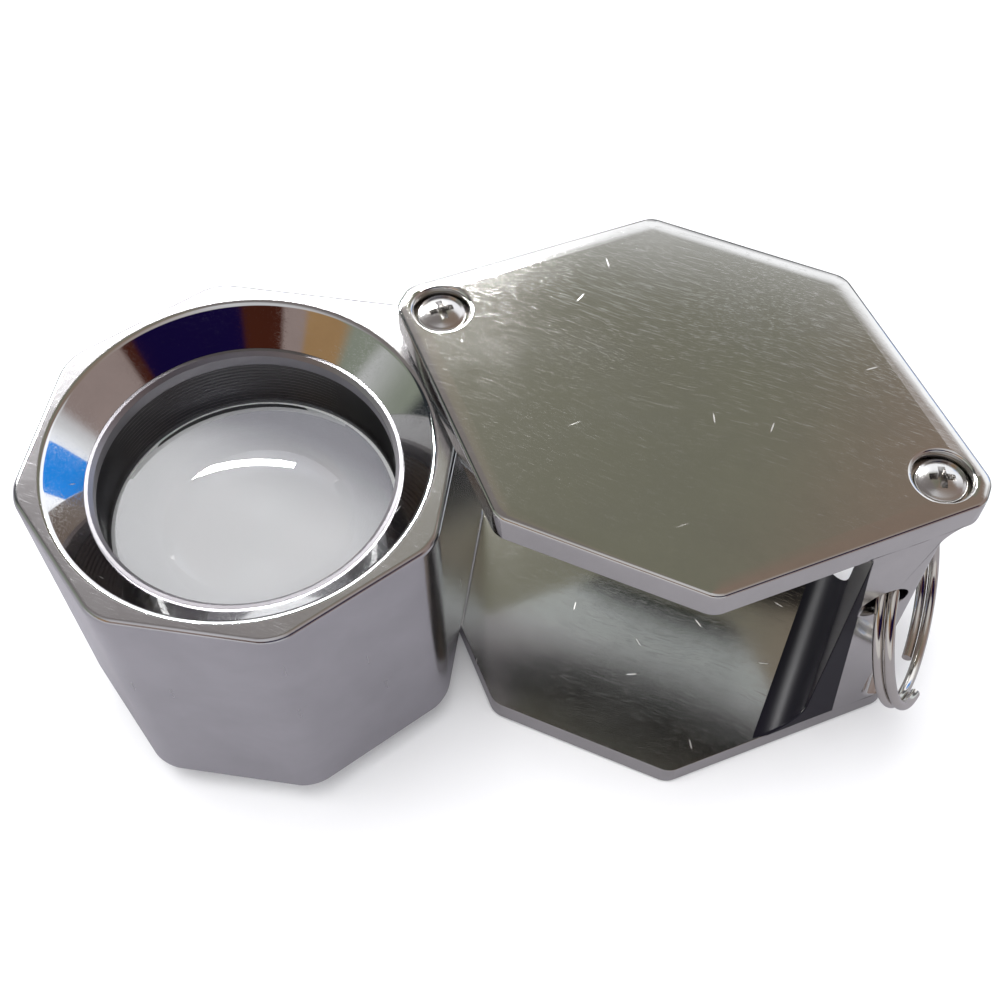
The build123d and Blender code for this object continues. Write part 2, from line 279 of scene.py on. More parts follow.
# Painted shade, seen only in mirrors: grey in front, paler behind, dark far off.
behind = step(floor_tree, floor_depth, *BEHIND_FROM, smooth_step=False)
far_off = step(floor_tree, floor_depth, *FAR_FROM, smooth_step=False)
mirrored_painted_shade = mix_colour(floor_tree, behind, MIRRORED_FLOOR_PAINTED_SHADE, BEHIND_FLOOR_PAINTED_SHADE)
mirrored_painted_shade = mix_colour(floor_tree, far_off, mirrored_painted_shade, FAR_FLOOR_PAINTED_SHADE)
floor_tone = mix_colour(floor_tree, floor_rays["Is Glossy Ray"], FLOOR_SEEN, mirrored_painted_shade)
floor_tone = mix_colour(floor_tree, floor_rays["Is Transmission Ray"], floor_tone, FLOOR_THROUGH_GLASS)
floor_surface = floor_tree.nodes["Principled BSDF"].inputs
floor_tree.links.new(floor_tone, floor_surface["Base Color"])
floor_surface["Emission Color"].default_value = (1, 1, 1, 1)
# Painted glow: the floor glows for rays through the glass.
painted_glow = math_node(floor_tree, "MULTIPLY", floor_rays["Is Transmission Ray"], PAINTED_GLOW_THROUGH_GLASS)
floor_tree.links.new(painted_glow, floor_surface["Emission Strength"])
floor.data.materials.append(pale_floor)

# %% Painted shadow: black cards behind the case, seen only in mirrors
# Painted shadow: a black sheet that fades out towards its edges.
painted_shadow_card = simple_finish("painted_shadow_card", PAINTED_SHADOW_BLACK, 1.0, specular=0.0)
shadow_card_tree = painted_shadow_card.node_tree
shadow_card_place = add_node(shadow_card_tree, "ShaderNodeTexCoord").outputs["Object"]
shadow_card_edge = add_node(shadow_card_tree, "ShaderNodeVectorMath", {0: shadow_card_place}, operation="LENGTH").outputs["Value"]
shadow_card_fade = step(shadow_card_tree, shadow_card_edge, *PAINTED_SHADOW_FADE, 1.0, 0.0)
shadow_card_tree.links.new(shadow_card_fade, shadow_card_tree.nodes["Principled BSDF"].inputs["Alpha"])
for name, place, (width, depth), tilt in PAINTED_SHADOW_CARDS:
    bpy.ops.mesh.primitive_grid_add(x_subdivisions=2, y_subdivisions=2, size=1, location=place,
                                    rotation=(tilt, 0, 0))
    shadow_card = bpy.context.active_object
    shadow_card.name = name
    shadow_card.scale = (width, depth, 1)
    shadow_card.data.materials.append(painted_shadow_card)
    shadow_card.visible_camera = shadow_card.visible_diffuse = shadow_card.visible_shadow = shadow_card.visible_transmission = False


# %% The lamps
def area_lamp(name, target, bearing_degrees, height_degrees, distance, size, energy):
    """A flat lamp at a bearing and height from its target, facing it; size is (width, height)."""
    bearing_angle, height_angle = math.radians(bearing_degrees), math.radians(height_degrees)
    level = distance * math.cos(height_angle)
    away = Vector((level * math.sin(bearing_angle), level * math.cos(bearing_angle),
                   distance * math.sin(height_angle)))
    bpy.ops.object.light_add(type="AREA", location=target + away)
    lamp = bpy.context.active_object
    lamp.name = name
    lamp.data.shape = "RECTANGLE"
    lamp.data.size, lamp.data.size_y = size
    lamp.data.energy = energy
    lamp.rotation_euler = (-away).to_track_quat("-Z", "Y").to_euler()
    lamp.visible_camera = False
    return lamp


TUBE_LEAN = math.radians(-20)
overhead = area_lamp("overhead_softbox", Vector((0, 0, 0)), bearing_degrees=-150, height_degrees=78,
                     distance=0.7, size=(0.5, 0.35), energy=3.4)
overhead.visible_glossy = overhead.visible_transmission = False
tube = area_lamp("strip_tube", LENS_CENTRE, bearing_degrees=-50, height_degrees=36,
                 distance=0.15, size=(0.15, 0.011), energy=0.75)
tube.rotation_euler.rotate_axis("Z", TUBE_LEAN)
tube.visible_diffuse = tube.visible_transmission = False
print("lamps:", overhead.name, tube.name)

# %% [markdown]
# ## Finishes
# Chrome plate is a metal with a nearly neutral colour. What makes it real is the wear: hairlines
# in every direction where it has been wiped, a few deeper nicks, and soft smudges that dull the
# mirror in patches. All of them are one node group, placed in each metal with its own amounts.

# %% How the wear is laid, in millimetres
HAIRLINE_LAYERS = [(0.4, 14.0), (1.2, 18.0), (1.9, 12.0), (2.6, 20.0), (3.0, 16.0)]  # angle, lines per mm
HAIRLINE_STRETCH = 0.02
HAIRLINE_TILT = (0.3, 0.2)
HAIRLINE_CUT = (0.64, 0.76)
BOW_SCALE, BOW_REACH = 0.07, 2.0
NICKS_PER_MM = 0.20
NICK_BOX = [(0.20, 0.55), (0.02, 0.06), (0.5, 0.7)]     # solid to, gone by, along each axis
NICK_DEPTH = 3.0
SMUDGE_NOISE = {"Scale": 0.16, "Detail": 5.0, "Roughness": 0.65}
SMUDGE_CUT = (0.38, 0.68)


# %% Wear, shared by all the metals
def hairlines(tree, position, angle, scale):
    """Long thin scratches that run at one angle, slightly bowed."""
    bow = add_node(tree, "ShaderNodeTexNoise", {"Vector": position, "Scale": BOW_SCALE, "Detail": 0.0})
    bent = add_node(tree, "ShaderNodeVectorMath", {0: bow.outputs["Color"], 3: BOW_REACH}, operation="SCALE")
    moved = add_node(tree, "ShaderNodeVectorMath", {0: position, 1: bent.outputs[0]}, operation="ADD")
    laid = add_node(tree, "ShaderNodeMapping", {"Vector": moved.outputs[0]})
    laid.inputs["Rotation"].default_value = (HAIRLINE_TILT[0] * angle, HAIRLINE_TILT[1] * angle, angle)
    laid.inputs["Scale"].default_value = (scale * HAIRLINE_STRETCH, scale, scale)
    lines = add_node(tree, "ShaderNodeTexNoise", {"Vector": laid.outputs[0], "Scale": 1.0, "Detail": 3.0})
    return step(tree, lines.outputs[0], *HAIRLINE_CUT, smooth_step=False)


def nicks_in(tree, position):
    """One short nick in each Voronoi cell, turned its own way."""
    cells = add_node(tree, "ShaderNodeTexVoronoi", {"Vector": position, "Scale": NICKS_PER_MM}, feature="F1")
    spin = math_node(tree, "MULTIPLY", cells.outputs["Color"], 2 * math.pi)
    local = add_node(tree, "ShaderNodeVectorMath", {0: position, 1: cells.outputs["Position"]},
                     operation="SUBTRACT")
    turned_local = add_node(tree, "ShaderNodeVectorRotate", {"Vector": local.outputs[0], "Angle": spin})
    along = add_node(tree, "ShaderNodeSeparateXYZ", {0: turned_local.outputs[0]}).outputs
    nick = 1.0
    for axis, (solid, gone) in enumerate(NICK_BOX):
        offset = math_node(tree, "ABSOLUTE", along[axis])
        side = step(tree, offset, solid, gone, 1.0, 0.0, smooth_step=False)
        nick = math_node(tree, "MULTIPLY", side, nick)
    return nick


def make_wear_group():
    """Input: position in mm. Outputs: hairline, nick and smudge masks."""
    group = bpy.data.node_groups.new("handling_wear", "ShaderNodeTree")
    group.interface.new_socket("Position", in_out="INPUT", socket_type="NodeSocketVector")
    for name in ("Hairlines", "Nicks", "Smudges"):
        group.interface.new_socket(name, in_out="OUTPUT", socket_type="NodeSocketFloat")
    position = group.nodes.new("NodeGroupInput").outputs["Position"]
    result = group.nodes.new("NodeGroupOutput")
    total = 0.0
    for angle, scale in HAIRLINE_LAYERS:
        total = math_node(group, "MAXIMUM", hairlines(group, position, angle, scale), total)
    smudge = add_node(group, "ShaderNodeTexNoise", {"Vector": position, **SMUDGE_NOISE})
    soft = step(group, smudge.outputs[0], *SMUDGE_CUT, smooth_step=False)
    for name, mask in (("Hairlines", total), ("Nicks", nicks_in(group, position)), ("Smudges", soft)):
        group.links.new(mask, result.inputs[name])
    return group


wear_group = make_wear_group()
print("wear group has", len(wear_group.nodes), "nodes")

# %% A metal with wear
HAIRLINE_ROUGH = 0.06
SMUDGE_ROUGH = 0.03
NICK_ROUGH = 0.3
SMUDGE_DULL = 0.90
RELIEF = 0.0018 * MM
RELIEF_STRENGTH = 0.5


def worn_metal(name, colour, rough, hairline=HAIRLINE_ROUGH, smudge=SMUDGE_ROUGH):
    """A plated metal: roughness and colour follow the wear, and the lines are cut in by a bump."""
    material = bpy.data.materials.new(name)
    material.use_nodes = True
    tree = material.node_tree
    metal = tree.nodes["Principled BSDF"]
    metal.inputs["Metallic"].default_value = 1.0
    place = add_node(tree, "ShaderNodeTexCoord").outputs["Object"]
    position = add_node(tree, "ShaderNodeVectorMath", {0: place, 3: 1 / MM}, operation="SCALE").outputs[0]
    wear = add_node(tree, "ShaderNodeGroup", node_tree=wear_group)
    tree.links.new(position, wear.inputs["Position"])
    lines, nicks, smudges = (wear.outputs[key] for key in ("Hairlines", "Nicks", "Smudges"))
    roughness = rough
    for mask, amount in ((lines, hairline), (smudges, smudge), (nicks, NICK_ROUGH)):
        roughness = math_node(tree, "ADD", math_node(tree, "MULTIPLY", mask, amount), roughness)
    tree.links.new(roughness, metal.inputs["Roughness"])
    dulled = tuple(SMUDGE_DULL * c for c in colour)
    shade = mix_colour(tree, smudges, (*colour, 1), (*dulled, 1))
    tree.links.new(shade, metal.inputs["Base Color"])
    depth = math_node(tree, "ADD", lines, math_node(tree, "MULTIPLY", nicks, NICK_DEPTH))
    bump = add_node(tree, "ShaderNodeBump", {"Height": depth, "Strength": RELIEF_STRENGTH, "Distance": RELIEF},
                    invert=True)
    tree.links.new(bump.outputs[0], metal.inputs["Normal"])
    return material


# %% The metals
case_chrome = worn_metal("case_chrome", (0.62, 0.61, 0.59), 0.10)
screw_chrome = worn_metal("screw_chrome", (0.58, 0.57, 0.56), 0.16)
ring_chrome = worn_metal("ring_chrome", (0.64, 0.61, 0.57), 0.08)
housing_plate = worn_metal("housing_plate", (0.60, 0.595, 0.61), 0.16)
dish_chrome = worn_metal("dish_chrome", (0.66, 0.66, 0.66), 0.03, hairline=0.02, smudge=0.02)
pivot_steel = worn_metal("pivot_steel", (0.50, 0.50, 0.51), 0.22)
spring_steel = worn_metal("spring_steel", (0.36, 0.36, 0.38), 0.28)
washer_brass = worn_metal("washer_brass", (0.70, 0.53, 0.28), 0.30)
sleeve_alloy = worn_metal("sleeve_alloy", (0.13, 0.13, 0.135), 0.30)
sleeve_mouth = worn_metal("sleeve_mouth", (0.30, 0.29, 0.31), 0.34)
# Painted dark reflection for the end post: a flat black that stands for dark surroundings mirrored in its chrome.
post_painted_dark_reflection = simple_finish("post_painted_dark_reflection", (0.010, 0.009, 0.014, 1), 0.3, specular=0.06)
print("metals made:", sum(material.name != "pale_floor" for material in bpy.data.materials))


# %% Glass
CLEAR_GLASS = (0.97, 0.98, 0.98, 1)
# Painted shade in the glass: grey on the side away from the camera, standing for the reflection of its dark rim.
PAINTED_SHADE_GLASS = (0.44, 0.44, 0.47, 1)
PAINTED_SHADE_FROM = (-12 * MM, -7 * MM)
GLASS_IOR = 1.52


def clear_glass(name):
    """Glass that lets soft light through, with a painted shade in its colour: darker on the side where the
    reflection of its blackened rim shows.
    """
    material = bpy.data.materials.new(name)
    material.use_nodes = True
    tree = material.node_tree
    glass = tree.nodes["Principled BSDF"]
    place = add_node(tree, "ShaderNodeTexCoord").outputs["Object"]
    depth = add_node(tree, "ShaderNodeSeparateXYZ", {0: place}).outputs[1]
    glass_painted_shade = mix_colour(tree, step(tree, depth, *PAINTED_SHADE_FROM), CLEAR_GLASS, PAINTED_SHADE_GLASS)
    tree.links.new(glass_painted_shade, glass.inputs["Base Color"])
    glass.inputs["Roughness"].default_value = 0.0
    glass.inputs["IOR"].default_value = GLASS_IOR
    glass.inputs["Transmission Weight"].default_value = 1.0
    clear = add_node(tree, "ShaderNodeBsdfTransparent")
    shadow = add_node(tree, "ShaderNodeLightPath").outputs["Is Shadow Ray"]
    either = add_node(tree, "ShaderNodeMixShader", {0: shadow, 1: glass.outputs[0], 2: clear.outputs[0]})
    tree.links.new(either.outputs[0], tree.nodes["Material Output"].inputs["Surface"])
    return material


lens_glass = clear_glass("lens_glass")
ground_edge = simple_finish("ground_edge", (0.85, 0.86, 0.86, 1), 0.5)

# %% [markdown]
# ## Shaping by hand
# Every new piece starts as a primitive and is shaped in edit mode. Three small helpers do what
# the mouse would: pick elements by where they are, cut a block with flat planes, and turn a
# profile round an axis as on a lathe.

# %% Selecting and editing
SAME_PLACE = 0.001 * MM
WELD = 0.0005 * MM


def only(obj):
    """Selects this object alone."""
    bpy.ops.object.select_all(action="DESELECT")
    obj.select_set(True)
    bpy.context.view_layer.objects.active = obj


def edit_all(obj):
    """Edit mode with everything selected."""
    only(obj)
    bpy.ops.object.mode_set(mode="EDIT")
    bpy.ops.mesh.select_mode(type="VERT")
    bpy.ops.mesh.select_all(action="SELECT")


def done():
    bpy.ops.object.mode_set(mode="OBJECT")


def pick(obj, kind, test):
    """In edit mode, selects the vertices, edges or faces that pass a test, and returns how many."""
    bpy.ops.mesh.select_mode(type=kind)
    bpy.ops.mesh.select_all(action="DESELECT")
    mesh = bmesh.from_edit_mesh(obj.data)
    items = {"VERT": mesh.verts, "EDGE": mesh.edges, "FACE": mesh.faces}[kind]
    found = [item for item in items if test(item)]
    for item in found:
        item.select_set(True)
    mesh.select_flush_mode()
    bmesh.update_edit_mesh(obj.data)
    return len(found)


def upright(edge):
    return all(abs(edge.verts[0].co[i] - edge.verts[1].co[i]) < SAME_PLACE for i in (0, 1))


def at_height(item, z):
    return all(abs(v.co.z - z) < SAME_PLACE for v in item.verts)


# %% Cutting a block
def cut_block(name, low, high, cuts):
    """A cube of that box, with each corner sliced off by a plane (point, outward direction)."""
    bpy.ops.object.select_all(action="DESELECT")
    size = high - low
    bpy.ops.mesh.primitive_cube_add(size=1, location=(low + high) / 2)
    block = bpy.context.active_object
    block.name = block.data.name = name
    block.scale = size
    bpy.ops.object.transform_apply(location=True, rotation=True, scale=True)
    edit_all(block)
    for point, outward in cuts:
        bpy.ops.mesh.select_all(action="SELECT")
        bpy.ops.mesh.bisect(plane_co=point, plane_no=outward, use_fill=True, clear_outer=True)
    done()
    return block


def slanted_cuts(centre, reach, signs):
    """Planes at 45 degrees to X and Y; reach is |x| + |y| along them, from the centre."""
    return [(centre + Vector((sx * reach / 2, sy * reach / 2, 0)), (sx, sy, 0)) for sx, sy in signs]


# %% Turning on a lathe
def turned(name, profile, centre, steps=96, closed=False):
    """Spins a profile of (radius, height) points, in metres, round a vertical axis."""
    bpy.ops.object.select_all(action="DESELECT")
    start = centre + Vector((profile[0][0], 0, profile[0][1]))
    bpy.ops.mesh.primitive_plane_add(size=1 * MM, location=start)
    piece = bpy.context.active_object
    piece.name = piece.data.name = name
    bpy.ops.object.transform_apply(location=True, rotation=True, scale=True)
    edit_all(piece)
    bpy.ops.mesh.merge(type="CENTER")
    route = list(profile) + ([profile[0]] if closed else [])
    for (r0, z0), (r1, z1) in zip(route, route[1:]):
        bpy.ops.mesh.extrude_region_move(TRANSFORM_OT_translate={"value": (r1 - r0, 0, z1 - z0)})
    bpy.ops.mesh.select_all(action="SELECT")
    bpy.ops.mesh.remove_doubles(threshold=WELD)
    bpy.ops.mesh.spin(steps=steps, angle=2 * math.pi, center=centre, axis=(0, 0, 1))
    bpy.ops.mesh.select_all(action="SELECT")
    bpy.ops.mesh.remove_doubles(threshold=WELD)
    bpy.ops.mesh.normals_make_consistent(inside=False)
    done()
    return piece


def arc(x, z, radius, start, end, count):
    """Points on a circle between two angles in degrees, ends included."""
    angles = [math.radians(start + (end - start) * i / count) for i in range(count + 1)]
    return [(x + radius * math.cos(a), z + radius * math.sin(a)) for a in angles]


# %% Joining and finishing
def combine(piece, tool, operation):
    """Cuts, keeps or adds the tool's shape with a boolean, and removes the tool."""
    only(piece)
    bpy.ops.object.modifier_add(type="BOOLEAN")
    cut = piece.modifiers[-1]
    cut.operation, cut.object, cut.solver = operation, tool, "EXACT"
    bpy.ops.object.modifier_apply(modifier=cut.name)
    bpy.data.objects.remove(tool)


def paint(piece, material, test=None):
    """The whole piece takes the material, or only the faces that pass a test."""
    if test is None:
        piece.data.materials.clear()
        piece.data.materials.append(material)
        return
    piece.data.materials.append(material)
    edit_all(piece)
    pick(piece, "FACE", test)
    piece.active_material_index = len(piece.data.materials) - 1
    bpy.ops.object.material_slot_assign()
    done()


def smooth(piece, degrees=32, weigh=True):
    """Smooth shading up to an angle; flat faces keep flat light beside rounded edges."""
    only(piece)
    bpy.ops.object.shade_smooth_by_angle(angle=math.radians(degrees))
    if weigh:
        bpy.ops.object.modifier_add(type="WEIGHTED_NORMAL")
        weighing = piece.modifiers[-1]
        weighing.weight, weighing.keep_sharp = 100, True
        bpy.ops.object.modifier_apply(modifier=weighing.name)


def settle(piece, body, slot_name, *nodes):
    """Fixes a finished piece to its body, in the place of the frame's nodes."""
    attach(piece, body)
    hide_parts(*nodes)
    print(piece.name, len(piece.data.polygons), "faces on", body)
    return piece


# %% [markdown]
# ## The two plates
# Each plate is thick sheet, sawn to six sides and polished by hand. Polishing always takes a
# little more off near an edge, so the flat rolls down over its last millimetre, and that roll is
# what draws the white line along the far edges. Two insets, each raised a little, make it. The
# seats for the screws are cut with a turned tool whose lip is rounded, so they get bright rings.

# %% Plate dimensions
FLAT_HALF = 7.4 * MM
TIP_REACH = CASE_HALF + FLAT_HALF
CORNER_ROUND = 0.6 * MM
ROLL_STEPS = [(0.6 * MM, 0.062 * MM), (0.8 * MM, 0.040 * MM)]
OUTER_EDGE_ROUND = 0.28 * MM
INNER_EDGE_ROUND = 0.05 * MM
SEAT_DEPTH = 0.95 * MM
SEAT_FLOOR = 1.85 * MM
SEAT_SLOPE = math.radians(12)
SEAT_LIP = 0.32 * MM
SHANK_HOLE = 1.15 * MM
CLEAR = 1 * MM                   # how far a cutter runs past the face it opens
ALL_CORNERS = [(1, 1), (1, -1), (-1, 1), (-1, -1)]


def eased_wall(foot_radius, depth, slope, lip, count=8):
    """A sloping wall from its foot up to a rounded lip that ends level with the face above it."""
    centre = foot_radius + (lip + (depth - lip) * math.sin(slope)) / math.cos(slope)
    return [(foot_radius, -depth)] + arc(centre, -lip, lip, 180 - math.degrees(slope), 90, count)


# %% A screw seat cutter
def seat_cutter(x):
    """The shape that is cut away for a screw: shank hole, flat floor, sloping wall, round lip."""
    wall = eased_wall(SEAT_FLOOR, SEAT_DEPTH, SEAT_SLOPE, SEAT_LIP)
    rim = wall[-1][0]
    below = GAP_ROOF - CASE_TOP - CLEAR
    profile = [(0, below), (SHANK_HOLE, below), (SHANK_HOLE, -SEAT_DEPTH)] + wall + [(rim, CLEAR), (0, CLEAR)]
    return turned("seat_cutter", profile, Vector((x, 0, CASE_TOP)), steps=96)


# %% The top plate
def make_plate():
    rolled = sum(rise for _, rise in ROLL_STEPS)
    low = Vector((-CASE_TIP, -CASE_HALF, GAP_ROOF))
    high = Vector((CASE_TIP, CASE_HALF, CASE_TOP - rolled))
    corner_cuts = slanted_cuts(Vector((0, 0, 0)), TIP_REACH, ALL_CORNERS)
    plate = cut_block("top_plate_polished", low, high, corner_cuts)
    edit_all(plate)
    pick(plate, "EDGE", upright)
    bpy.ops.mesh.bevel(offset=CORNER_ROUND, segments=5, affect="EDGES")
    pick(plate, "FACE", lambda face: at_height(face, high.z))
    for width, rise in ROLL_STEPS:
        bpy.ops.mesh.inset(thickness=width)
        bpy.ops.transform.translate(value=(0, 0, rise))
    pick(plate, "EDGE", lambda edge: at_height(edge, high.z))
    bpy.ops.mesh.bevel(offset=OUTER_EDGE_ROUND, segments=3, affect="EDGES")
    pick(plate, "EDGE", lambda edge: at_height(edge, GAP_ROOF))
    bpy.ops.mesh.bevel(offset=INNER_EDGE_ROUND, segments=2, affect="EDGES")
    done()
    for x in (-SCREW_X, SCREW_X):
        combine(plate, seat_cutter(x), "DIFFERENCE")
    return plate


top_plate = make_plate()
paint(top_plate, case_chrome)
smooth(top_plate)


# %% The bottom plate is the same one, turned over
def copy_turned_over(piece, name):
    """A copy with its own mesh, turned half a turn about X at mid height."""
    only(piece)
    bpy.ops.object.duplicate()
    twin = bpy.context.active_object
    twin.name = twin.data.name = name
    edit_all(twin)
    bpy.ops.transform.rotate(value=math.pi, orient_axis="X", center_override=(0, 0, CASE_MID))
    done()
    return twin


bottom_plate = copy_turned_over(top_plate, "bottom_plate_polished")
settle(top_plate, "case", "case_chrome", "top_plate")
settle(bottom_plate, "case", "case_chrome", "bottom_plate")

# %% [markdown]
# ## The screws
# Short machine screws with a low dome and a cross recess. The head is turned with a rounded rim,
# and the cross is cut with two tapered bars. The slots get narrower with depth, as the punch
# that makes them does.

# %% Screw dimensions
SHANK = 1.0 * MM
SHANK_LENGTH = 5.2 * MM
TIP_CHAMFER = 0.3 * MM
HEAD = 1.75 * MM
HEAD_RIM = 0.35 * MM
HEAD_DOME = 0.5 * MM
RIM_ROUND = 0.22 * MM
RIM_TURN = 70
SLOT_LENGTH = 2.7 * MM
SLOT_WIDTH = 0.75 * MM
SLOT_DEPTH = 0.75 * MM
SLOT_TAPER = 0.35


def dome_points(count=10):
    """The top of the head from its rounded rim to the centre."""
    radius = (HEAD ** 2 + HEAD_DOME ** 2) / (2 * HEAD_DOME)
    top = HEAD_RIM + HEAD_DOME
    start = math.degrees(math.acos((HEAD - RIM_ROUND) / radius))
    dome = arc(0, top - radius, radius, start, 90, count)
    rim = arc(HEAD - RIM_ROUND, dome[0][1] - RIM_ROUND, RIM_ROUND, 0, RIM_TURN, 5)
    return rim + dome


def slot_bar(centre, angle):
    """A bar that tapers downwards, standing above the head."""
    bpy.ops.object.select_all(action="DESELECT")
    height = 2 * SLOT_DEPTH
    bpy.ops.mesh.primitive_cube_add(size=1, location=centre)
    bar = bpy.context.active_object
    bar.scale = (SLOT_LENGTH, SLOT_WIDTH, height)
    bar.rotation_euler = (0, 0, angle)
    bpy.ops.object.transform_apply(location=True, rotation=True, scale=True)
    edit_all(bar)
    pick(bar, "FACE", lambda face: face.normal.z < -0.9)
    bpy.ops.transform.resize(value=(SLOT_TAPER, SLOT_TAPER, 1), center_override=centre)
    done()
    return bar


# %% One screw, seated in the top plate
def make_screw(name, x, turn_angle):
    seat = Vector((x, 0, CASE_TOP - SEAT_DEPTH))
    shank = [(0, -SHANK_LENGTH), (SHANK - TIP_CHAMFER, -SHANK_LENGTH), (SHANK, TIP_CHAMFER - SHANK_LENGTH)]
    profile = shank + [(SHANK, 0), (HEAD, 0)] + dome_points()
    screw = turned(name, profile, seat, steps=64)
    top = seat + Vector((0, 0, HEAD_RIM + HEAD_DOME))
    for quarter in (0, 1):
        bar = slot_bar(top, turn_angle + quarter * math.pi / 2)
        combine(screw, bar, "DIFFERENCE")
    paint(screw, screw_chrome)
    smooth(screw, 40)
    return screw


# %% Four screws, each stopped at its own angle
SCREW_STOPS = [("pivot", -SCREW_X, 0.75, 0.2), ("post", SCREW_X, 0.35, 1.1)]    # above, below, in radians
for place, x, angle_top, angle_bottom in SCREW_STOPS:
    below = make_screw(f"{place}_screw_to_turn_over", x, angle_bottom)
    turned_below = copy_turned_over(below, f"{place}_screw_below")
    bpy.data.objects.remove(below)
    settle(turned_below, "case", "screw_chrome", f"{place}_screw_bottom")
    above = make_screw(f"{place}_screw_above", x, angle_top)
    settle(above, "case", "screw_chrome", f"{place}_screw_top")

# %% [markdown]
# ## The end post
# The post is a casting that follows the pointed end of the case. Seen from the side it is a
# straight column that sweeps out into both plates, so its side view is drawn first, filled and
# pulled through the whole width, and then trimmed to the outline of the plates.

# %% Post dimensions
POST_INNER = 15.45 * MM
POST_OUTER = 19.2 * MM
FOOT_BLEND = 3.0 * MM
HEAD_BLEND = 0.6 * MM
OUTER_FLARE = 1.55 * MM
POST_EDGE = 0.22 * MM
SHARP_ANGLE = math.radians(35)
INWARD_FACING = -0.2
RING_HOLE = 1.3 * MM
RING_HINGE = Vector(joints["ring_swing"]["pos_m"])
# Where the painted dark reflection on the post ends: a plane through the inner edge at the roof, leaning outward
# towards the foot.
PAINTED_REFLECTION_TOP = Vector((POST_INNER, 0, GAP_ROOF))
PAINTED_REFLECTION_TILT = Vector((1, 0, 0.085))


def blend(x, z, radius, side, up, count=10):
    """Quarter circle from the column out along a plate, as (x, z) points."""
    start = 180 if side > 0 else 0
    end = 180 + 90 * up if side > 0 else -90 * up
    return arc(x + side * radius, z + up * radius, radius, start, end, count)


# %% The post's side view, pulled through
def make_post():
    inner_foot = blend(POST_INNER, GAP_FLOOR, FOOT_BLEND, -1, 1)
    inner_head = blend(POST_INNER, GAP_ROOF, HEAD_BLEND, -1, -1)
    outer_foot = blend(POST_OUTER, GAP_FLOOR, OUTER_FLARE, 1, 1)
    outer_head = blend(POST_OUTER, GAP_ROOF, OUTER_FLARE, 1, -1)
    side_view = inner_foot + outer_foot[::-1] + outer_head + inner_head[::-1]
    bpy.ops.object.select_all(action="DESELECT")
    start = Vector((side_view[0][0], -CASE_HALF, side_view[0][1]))
    bpy.ops.mesh.primitive_plane_add(size=1 * MM, location=start)
    post = bpy.context.active_object
    post.name = post.data.name = "end_post_cast"
    bpy.ops.object.transform_apply(location=True, rotation=True, scale=True)
    edit_all(post)
    bpy.ops.mesh.merge(type="CENTER")
    for (x0, z0), (x1, z1) in zip(side_view, side_view[1:]):
        bpy.ops.mesh.extrude_region_move(TRANSFORM_OT_translate={"value": (x1 - x0, 0, z1 - z0)})
    bpy.ops.mesh.select_all(action="SELECT")
    bpy.ops.mesh.remove_doubles(threshold=WELD)
    bpy.ops.mesh.edge_face_add()
    bpy.ops.mesh.extrude_region_move(TRANSFORM_OT_translate={"value": (0, 2 * CASE_HALF, 0)})
    bpy.ops.mesh.select_all(action="SELECT")
    bpy.ops.mesh.normals_make_consistent(inside=False)
    done()
    return post


def post_envelope():
    """The outline of the case between the plates."""
    low = Vector((0, -CASE_HALF, GAP_FLOOR))
    high = Vector((CASE_TIP, CASE_HALF, GAP_ROOF))
    corner_cuts = slanted_cuts(Vector((0, 0, 0)), TIP_REACH, [(1, 1), (1, -1)])
    return cut_block("post_envelope", low, high, corner_cuts)


def cross_pin(name, radius, place):
    """A round bar along Y."""
    bpy.ops.object.select_all(action="DESELECT")
    bpy.ops.mesh.primitive_cylinder_add(vertices=48, radius=radius, depth=2 * CASE_HALF, location=place,
                                        rotation=(math.pi / 2, 0, 0))
    pin = bpy.context.active_object
    pin.name = name
    bpy.ops.object.transform_apply(location=True, rotation=True, scale=True)
    return pin


end_post = make_post()
combine(end_post, post_envelope(), "INTERSECT")
combine(end_post, cross_pin("ring_hole", RING_HOLE, RING_HINGE), "DIFFERENCE")
edit_all(end_post)
pick(end_post, "EDGE", lambda edge: edge.calc_face_angle(0) > SHARP_ANGLE
     and not at_height(edge, GAP_ROOF) and not at_height(edge, GAP_FLOOR))
bpy.ops.mesh.bevel(offset=POST_EDGE, segments=3, affect="EDGES")
done()
paint(end_post, case_chrome)
# Painted dark reflection: a cut along that leaning plane, then every face that looks inward or lies inside it is
# painted flat black, standing for dark surroundings mirrored in the chrome.
edit_all(end_post)
bpy.ops.mesh.bisect(plane_co=PAINTED_REFLECTION_TOP, plane_no=PAINTED_REFLECTION_TILT)
done()
paint(end_post, post_painted_dark_reflection, lambda face: face.normal.x < INWARD_FACING
      or (face.calc_center_median() - PAINTED_REFLECTION_TOP).dot(PAINTED_REFLECTION_TILT) < 0)
smooth(end_post, 40)
settle(end_post, "case", "case_chrome", "end_post")

# %% [markdown]
# ## The lens housing
# One block holds the optics. In plan it is half an octagon drawn out to the pivot, so it folds
# flush into the case. It is cut square to the case first, where its corners are easy to place,
# and swung out about the pivot afterwards. The dish at each face is polished like a mirror, and
# the sides are left satin.

